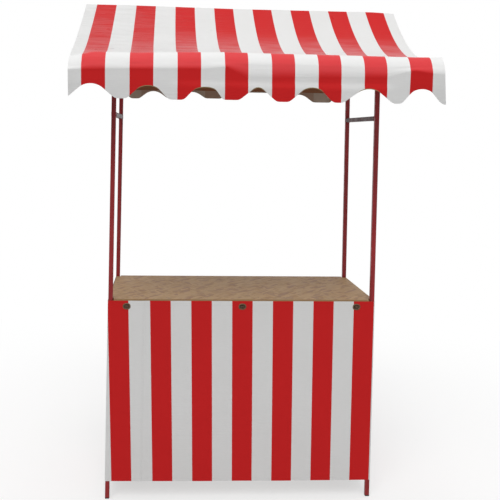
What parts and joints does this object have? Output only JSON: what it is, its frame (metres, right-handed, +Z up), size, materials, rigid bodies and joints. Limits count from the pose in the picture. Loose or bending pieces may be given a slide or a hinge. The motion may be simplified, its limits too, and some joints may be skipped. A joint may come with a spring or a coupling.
{
  "type": "market stall with a striped canopy and skirt",
  "caption": "Light market stall: painted steel tube frame, wooden counter board, striped skirt hung round the counter, and a sagging striped canopy with scalloped valances.",
  "frame": {"origin": "on the ground, straight below the middle of the ridge; it is the bottom centre of the whole stall's box", "axes": "+Z up, +X along the counter to the right as a customer sees it, +Y from the customers' side to the seller's side"},
  "size_m": [1.5, 1.55, 2.31],
  "materials": {
    "frame_paint": "gloss red paint on square and round steel tube, slightly worn",
    "tie_paint": "dull grey with a trace of red, on the two side ties",
    "cap_plastic": "black moulded caps and plugs",
    "board_wood": "pressed flake board with reddish flakes",
    "striped_cloth": "coated cloth in even red and white stripes, half gloss",
    "stud_bronze": "dull bronze eyelets with dark turn buttons"
  },
  "bodies": {
    "root": {"post_front_left": "frame_paint", "post_front_right": "frame_paint", "post_rear_left": "frame_paint", "post_rear_right": "frame_paint", "foot_front_left": "cap_plastic", "foot_front_right": "cap_plastic", "foot_rear_left": "cap_plastic", "foot_rear_right": "cap_plastic", "counter_rail_front": "frame_paint", "counter_rail_rear": "frame_paint", "counter_rail_left": "frame_paint", "counter_rail_right": "frame_paint", "low_rail_left": "frame_paint", "low_rail_right": "frame_paint", "low_rail_rear": "frame_paint", "side_tie_left": "tie_paint", "side_tie_right": "tie_paint", "counter_board": "board_wood", "roof_arm_left": "frame_paint", "roof_arm_right": "frame_paint", "king_post_left": "frame_paint", "king_post_right": "frame_paint", "ridge_bar": "frame_paint", "eaves_bar_front": "frame_paint", "eaves_bar_rear": "frame_paint", "ridge_plugs": "cap_plastic", "eaves_plugs_front": "cap_plastic", "eaves_plugs_rear": "cap_plastic", "canopy": "striped_cloth", "skirt_front": "striped_cloth", "skirt_left": "striped_cloth", "skirt_right": "striped_cloth", "stud_left": "stud_bronze", "stud_middle": "stud_bronze", "stud_right": "stud_bronze"}
  },
  "joints": []
}
